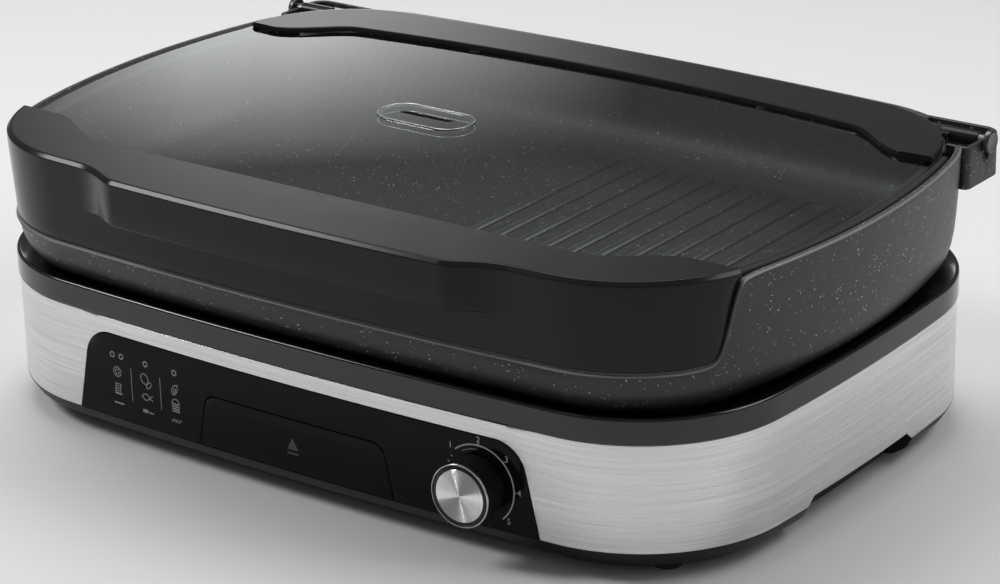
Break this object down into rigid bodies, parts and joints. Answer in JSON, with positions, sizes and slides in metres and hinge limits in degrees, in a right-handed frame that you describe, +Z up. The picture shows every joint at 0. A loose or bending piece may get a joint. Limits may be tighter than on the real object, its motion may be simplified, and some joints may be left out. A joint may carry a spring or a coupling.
{
  "type": "electric table grill",
  "caption": "Wide electric table grill with a steel-banded base, a control knob, a pull-out drip tray, a lift-off ribbed pan and a hinged glass lid.",
  "frame": {"origin": "middle of the outer box, on the surface that the feet stand on", "axes": "+Z up, the control panel faces -Y, +X to the right seen from the front"},
  "size_m": [0.53, 0.3698, 0.171],
  "materials": {
    "band_steel": "brushed along the band",
    "ring_gloss": "gloss dark",
    "black_plastic": "fine matt",
    "zinc_sheet": "zinc plated",
    "screw_steel": "plain",
    "foot_rubber": "matt",
    "panel_gloss": "high gloss",
    "bright_sheet": "bright sheet",
    "element_steel": "heat darkened",
    "lead_blue": "insulated lead",
    "lead_brown": "insulated lead",
    "pan_coating": "speckled non-stick coating",
    "lid_pane": "clear",
    "seal_rubber": "matt",
    "vent_steel": "polished",
    "trim_satin": "satin",
    "block_white": "matt",
    "knob_chrome": "bright",
    "knob_disc": "spun"
  },
  "bodies": {
    "base": {"steel_band": "band_steel", "top_ring": "ring_gloss", "base_tub": "black_plastic", "bottom_plate": "zinc_sheet", "plate_screws": "screw_steel", "rubber_feet": "foot_rubber", "control_panel": "panel_gloss", "reflector": "bright_sheet", "heating_element": "element_steel", "element_terminals": "screw_steel", "element_clips": "zinc_sheet", "thermostat": "black_plastic", "thermostat_screws": "screw_steel", "cord_gland": "foot_rubber", "lead_neutral": "lead_blue", "lead_live": "lead_brown", "lead_switched": "lead_brown", "lead_fused": "lead_brown", "thermal_fuse": "bright_sheet", "tray_rails": "zinc_sheet", "support_posts": "zinc_sheet", "terminal_block": "block_white"},
    "pan": {"grill_pan": "pan_coating"},
    "lid": {"lid_glass": "lid_pane", "lid_gasket": "seal_rubber", "vent_rim": "vent_steel", "front_trim": "trim_satin", "rear_trim": "trim_satin", "hinge_pins": "vent_steel", "trim_screws": "screw_steel"},
    "knob": {"knob_body": "black_plastic", "knob_ring": "knob_chrome", "knob_face": "knob_disc", "thermostat_shaft": "vent_steel"},
    "drip_tray": {"drip_tray": "bright_sheet", "drip_tray_front": "panel_gloss"}
  },
  "joints": [
    {"name": "pan_lift", "type": "slide", "parent": "base", "child": "pan", "axis": [0, 0, 1], "range_m": [0, 0.06]},
    {"name": "lid_hinge", "type": "hinge", "parent": "pan", "child": "lid", "pos_m": [0, 0.15157, 0.1633], "axis": [-1, 0, 0], "range_deg": [0, 95]},
    {"name": "knob_turn", "type": "hinge", "parent": "base", "child": "knob", "pos_m": [0.125, -0.16493, 0.0404], "axis": [-0.0431, 0.9991, 0], "range_deg": [0, 200]},
    {"name": "tray_slide", "type": "slide", "parent": "base", "child": "drip_tray", "axis": [0, -1, 0], "range_m": [0, 0.125]}
  ]
}
